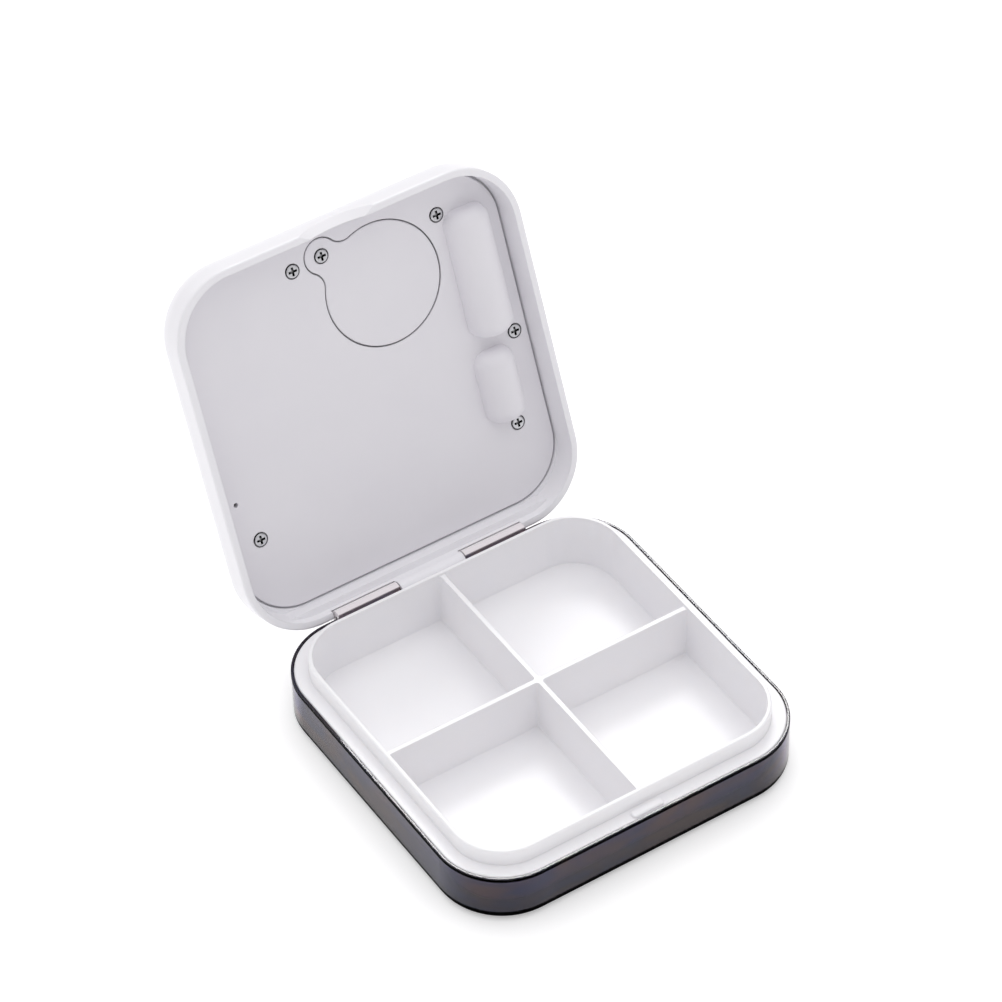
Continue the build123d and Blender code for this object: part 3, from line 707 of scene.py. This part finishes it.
@dataclass
class BaseTub:
    """Tinted tub with its tray and the two hinge pins."""

    def build(self) -> None:
        """Dress the nodes of the base."""
        dress("base_shell", Finish.SMOKED_STYRENE)
        dress("pill_tray", Finish.TRAY_PP)
        dress("hinge_pin_left", Finish.PIN_STEEL)
        dress("hinge_pin_right", Finish.PIN_STEEL)


@dataclass
class LidInside:
    """White lid, its inner cover, the battery door and their screws."""

    def build(self) -> None:
        """Dress the nodes that show with the lid open."""
        dress("lid_shell", Finish.LID_ABS)
        dress("inner_cover", Finish.COVER_ABS)
        dress("battery_door", Finish.COVER_ABS)
        dress("battery_door_screw", Finish.SCREW_STEEL)
        dress("cover_screws", Finish.SCREW_STEEL)


class Segment(Enum):
    """Bars of a seven-segment digit: place across and along in half digits, and if it stands."""

    TOP = (0.0, 1.0, False)
    MIDDLE = (0.0, 0.0, False)
    BOTTOM = (0.0, -1.0, False)
    UPPER_LEFT = (-1.0, 0.5, True)
    UPPER_RIGHT = (1.0, 0.5, True)
    LOWER_LEFT = (-1.0, -0.5, True)
    LOWER_RIGHT = (1.0, -0.5, True)


DIGIT_BARS = {
    "0": "TOP BOTTOM UPPER_LEFT UPPER_RIGHT LOWER_LEFT LOWER_RIGHT",
    "3": "TOP MIDDLE BOTTOM UPPER_RIGHT LOWER_RIGHT",
    "8": "TOP MIDDLE BOTTOM UPPER_LEFT UPPER_RIGHT LOWER_LEFT LOWER_RIGHT",
}


@dataclass
class OuterFace:
    """Display, window pane and buttons on the lid's outer face. Sizes in millimetres."""

    display_y: float = 8.0
    glass_top: float = 10.2
    ink_thickness: float = 0.05
    digit_height: float = 11.0
    digit_width: float = 5.4
    digit_gap: float = 1.3
    hour_digits_x: float = -11.3
    minute_digits_x: float = 4.6
    bar_thickness: float = 1.1
    bar_gap: float = 0.25
    slant: float = 0.1
    colon_dot_radius: float = 0.6
    colon_dot_offset: float = 1.9
    button_y: float = 26.0
    button_pitch: float = 16.0
    button_top: float = 11.9
    mark_radius: float = 0.45
    mark_pitch_in_radii: float = 3.4
    mark_height: float = 0.12
    mark_sink: float = 0.01

    def build(self) -> None:
        """Dress the outer face and add the digits and the buttons' raised marks."""
        dress("lcd_display", Finish.LCD_GLASS)
        dress("display_window", Finish.PANE)
        for name in ("hour", "minute", "alarm"):
            dress(f"{name}_button", Finish.BUTTON_ABS)
        self.digits("08", self.hour_digits_x, "hour_digits")
        self.digits("30", self.minute_digits_x, "minute_digits")
        self.colon()
        for index, name in enumerate(("hour", "minute", "alarm")):
            self.marks(name, (index - 1) * self.button_pitch, index + 1)

    def bar(self, shape: bmesh.types.BMesh, x: float, segment: Segment) -> None:
        """Add one bar of a digit, with pointed ends.

        Args:
            shape: Mesh that takes the bar.
            x: Middle of the digit, across the display.
            segment: The bar to add.
        """
        across, along, stands = segment.value
        half = self.digit_height / 2 - self.bar_thickness / 2
        wide = self.digit_width / 2 - self.bar_thickness / 2
        length = (half if stands else 2 * wide) - self.bar_gap
        made = bmesh.ops.create_circle(shape, cap_ends=True, segments=6, radius=0.5)
        points = made["verts"]
        # The circle starts on its Y axis: turned so that two corners lie on X, as the bar's ends
        bmesh.ops.rotate(shape, verts=points, matrix=Matrix.Rotation(math.pi / 2, 3, "Z"))
        for point in points:
            # The end points lie 0.5 from the middle and the others 0.25
            inner = abs(point.co.x) < 0.4
            end = math.copysign(length / 2 - (self.bar_thickness / 2 if inner else 0), point.co.x)
            rise = math.copysign(self.bar_thickness / 2, point.co.y) if inner else 0.0
            point.co = Vector((end, rise, 0))
        if stands:
            bmesh.ops.rotate(shape, verts=points, matrix=Matrix.Rotation(math.pi / 2, 3, "Z"))
        bmesh.ops.translate(shape, verts=points, vec=(across * wide, along * half, 0))
        for point in points:
            point.co.x += point.co.y * self.slant + x

    def raise_and_place(self, shape: bmesh.types.BMesh, y: float, z: float, height: float) -> None:
        """Give flat ink its thickness and set it on the lid.

        Args:
            shape: Flat faces in lid millimetres, about the origin along the lid.
            y: Middle of the shape towards the hinge.
            z: Level it stands on.
            height: Thickness of the shape.
        """
        made = bmesh.ops.extrude_face_region(shape, geom=shape.faces[:])
        top = [v for v in made["geom"] if isinstance(v, bmesh.types.BMVert)]
        bmesh.ops.translate(shape, verts=top, vec=(0, 0, height))
        bmesh.ops.transform(
            shape, matrix=LID.matrix() @ Matrix.Translation((0, y, z)), verts=shape.verts
        )

    def digits(self, text: str, x: float, name: str) -> None:
        """Add a pair of digits to the display.

        Args:
            text: The digits shown.
            x: Middle of the first one across the display.
            name: Name of the piece.
        """
        shape = bmesh.new()
        for index, character in enumerate(text):
            for bar_name in DIGIT_BARS[character].split():
                place = x + index * (self.digit_width + self.digit_gap)
                self.bar(shape, place, Segment[bar_name])
        self.raise_and_place(shape, self.display_y, self.glass_top, self.ink_thickness)
        add_piece(name, shape, Finish.LCD_INK, "lid")

    def colon(self) -> None:
        """Add the two dots between hours and minutes."""
        shape = bmesh.new()
        for y in (-self.colon_dot_offset, self.colon_dot_offset):
            made = bmesh.ops.create_circle(
                shape, cap_ends=True, segments=24, radius=self.colon_dot_radius
            )
            bmesh.ops.translate(shape, verts=made["verts"], vec=(y * self.slant, y, 0))
        self.raise_and_place(shape, self.display_y, self.glass_top, self.ink_thickness)
        add_piece("colon_dots", shape, Finish.LCD_INK, "lid")

    def marks(self, button: str, x: float, count: int) -> None:
        """Add raised dots to a button, so that it can be told by touch.

        Args:
            button: Which button.
            x: Its middle across the lid.
            count: How many dots.
        """
        shape = bmesh.new()
        for index in range(count):
            made = bmesh.ops.create_circle(
                shape, cap_ends=True, segments=20, radius=self.mark_radius
            )
            side = (index - (count - 1) / 2) * self.mark_pitch_in_radii * self.mark_radius
            bmesh.ops.translate(shape, verts=made["verts"], vec=(x + side, 0, 0))
        level = self.button_top - self.mark_sink
        self.raise_and_place(shape, self.button_y, level, self.mark_height)
        add_piece(f"{button}_button_dots", shape, Finish.BUTTON_MARK, button)


@dataclass
class Workings:
    """Board, cell, buzzer and motor behind the inner cover."""

    def build(self) -> None:
        """Dress the sealed nodes."""
        for node, finish in {
            "coin_cell": Finish.CELL_STEEL,
            "battery_contact_positive": Finish.SPRING_STRIP,
            "battery_contact_negative": Finish.SPRING_STRIP,
            "circuit_board": Finish.BOARD,
            "control_chip": Finish.RESIN,
            "capacitor": Finish.SLEEVE,
            "lcd_frame": Finish.FRAME_ABS,
            "lcd_connector_strips": Finish.ZEBRA_RUBBER,
            "hour_plunger": Finish.PLUNGER_POM,
            "minute_plunger": Finish.PLUNGER_POM,
            "alarm_plunger": Finish.PLUNGER_POM,
            "tact_switches": Finish.SWITCH_NYLON,
            "buzzer": Finish.BUZZER_PBT,
            "vibration_motor": Finish.MOTOR_CAN,
            "motor_pad": Finish.FOAM,
            "motor_shaft": Finish.PIN_STEEL,
            "eccentric_weight": Finish.SINTERED,
            "motor_lead_red": Finish.LEAD_RED,
            "motor_lead_black": Finish.LEAD_BLACK,
        }.items():
            dress(node, finish)


@dataclass
class Studio:
    """Pale floor, soft lights and the camera. Lengths in metres."""

    floor_half_width: float = 3.0
    floor_drop: float = 0.00005
    paper_glow: float = 0.35
    sky_strength: float = 0.58
    aim: tuple[float, float, float] = (0.0, 0.01, 0.03)
    focal_mm: float = 167.02
    shift: tuple[float, float] = (-0.006555, 0.00378)
    camera_place: tuple[float, float, float] = (-0.344458, -0.537726, 0.685627)
    camera_turn: tuple[float, float, float, float] = (0.8815944, 0.3751568, -0.1026351, -0.2674223)

    def build(self) -> None:
        """Set up floor, world, lights and camera."""
        self.floor()
        self.sky()
        self.lamp("key_softbox", place=(0.1, 0.2, 0.95), size=1.7, watts=7.3)
        self.lamp("back_softbox", place=(0.0, 0.9, 0.55), size=0.8, watts=0.65)
        # Shows only as a reflection: it draws the bright line along the tub's front rim
        glint = self.lamp(
            "rim_glint_panel", place=(0.407, 0.627, 0.815), size=0.3, watts=5.0
        )
        glint.visible_diffuse = False
        glint.visible_transmission = False
        self.camera()

    def floor(self) -> None:
        """Add a wide, pale, matte floor, lit a little from below as a paper sweep."""
        shape = bmesh.new()
        bmesh.ops.create_grid(shape, x_segments=1, y_segments=1, size=self.floor_half_width)
        mesh = bpy.data.meshes.new("studio_floor")
        shape.to_mesh(mesh)
        shape.free()
        floor = bpy.data.objects.new("studio_floor", mesh)
        floor.location.z = -self.floor_drop
        bpy.context.scene.collection.objects.link(floor)
        material, tree = blank_material("studio_paper")
        shader = add_node(
            tree,
            "ShaderNodeBsdfPrincipled",
            {
                "Base Color": srgb("fafafa"),
                "Roughness": 0.7,
                "Emission Color": srgb("ffffff"),
                "Emission Strength": self.paper_glow,
            },
        )
        add_node(tree, "ShaderNodeOutputMaterial", {"Surface": shader.outputs[0]})
        mesh.materials.append(material)

    def sky(self) -> None:
        """Light the room evenly from all round."""
        world = bpy.data.worlds.new("studio_room")
        world.use_nodes = True
        background = world.node_tree.nodes["Background"]
        background.inputs["Color"].default_value = srgb("faf9fb")
        background.inputs["Strength"].default_value = self.sky_strength
        bpy.context.scene.world = world
        bpy.context.scene.view_settings.view_transform = "Standard"

    def lamp(
        self, name: str, place: tuple[float, float, float], size: float, watts: float
    ) -> bpy.types.Object:
        """Add a square soft light that faces the box.

        Args:
            name: Name of the light.
            place: Where it stands.
            size: Side of its square.
            watts: Its power.
        Returns:
            The new light.
        """
        data = bpy.data.lights.new(name, "AREA")
        data.size = size
        data.energy = watts
        lamp = bpy.data.objects.new(name, data)
        lamp.location = place
        direction = Vector(self.aim) - Vector(place)
        lamp.rotation_euler = direction.to_track_quat("-Z", "Y").to_euler()
        bpy.context.scene.collection.objects.link(lamp)
        return lamp

    def camera(self) -> None:
        """Add the camera at the photograph's viewing angle."""
        data = bpy.data.cameras.new("photo_camera")
        data.lens = self.focal_mm
        data.sensor_width = 36.0
        data.shift_x, data.shift_y = self.shift
        data.clip_start = 0.01
        camera = bpy.data.objects.new("photo_camera", data)
        camera.location = self.camera_place
        camera.rotation_mode = "QUATERNION"
        camera.rotation_quaternion = Quaternion(self.camera_turn)
        bpy.context.scene.collection.objects.link(camera)
        bpy.context.scene.camera = camera


def main() -> None:
    """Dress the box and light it."""
    logging.basicConfig(level=logging.INFO, format="%(name)s %(message)s")
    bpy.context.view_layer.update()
    for part in (BaseTub(), LidInside(), OuterFace(), Workings(), Studio()):
        part.build()


if __name__ == "__main__":
    main()
